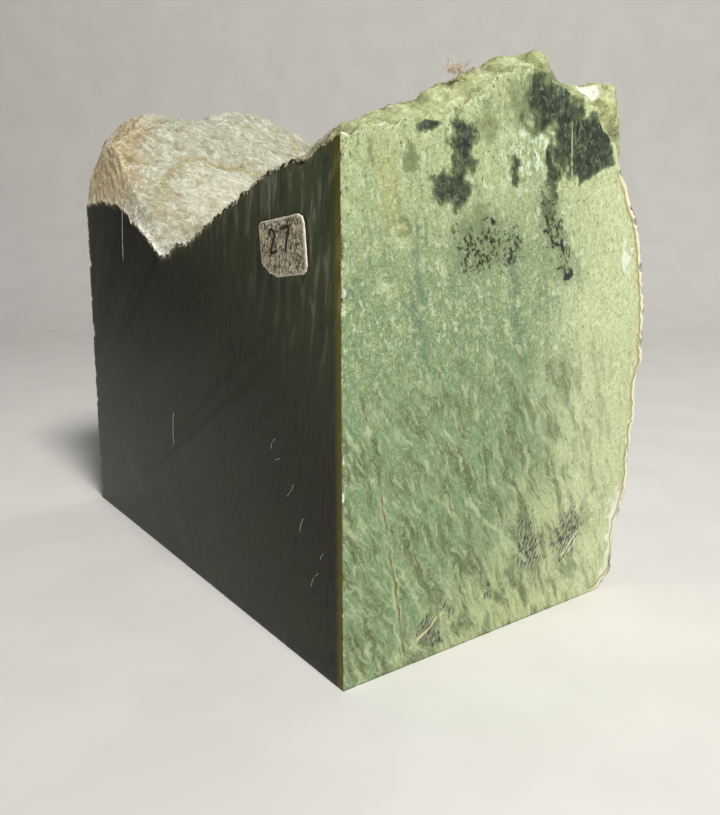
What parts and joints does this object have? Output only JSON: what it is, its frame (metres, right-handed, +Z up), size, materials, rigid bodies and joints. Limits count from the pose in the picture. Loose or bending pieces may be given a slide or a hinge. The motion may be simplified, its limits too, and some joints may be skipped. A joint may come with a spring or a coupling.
{
  "type": "sawn nephrite jade block",
  "caption": "Block sawn from a jade boulder: polished side, matt sawn end and flat foot, with weathered rind on top and a small stuck-on label.",
  "frame": {"origin": "on the surface the block rests on, under the middle of its bounding box", "axes": "+Z up; the matt sawn end faces -Y, the polished side with the label faces -X, the sawn back faces +Y, the natural far side +X"},
  "size_m": [0.0808, 0.1204, 0.1045],
  "materials": {
    "jade": "polished on -X, matt sawn on -Y, +Y and the foot, weathered rind elsewhere",
    "label_paper": "aged paper with pen marks",
    "lint": "tiny loose fibres"
  },
  "bodies": {
    "root": {"jade_block": "jade", "weight_label": "label_paper"}
  },
  "joints": []
}
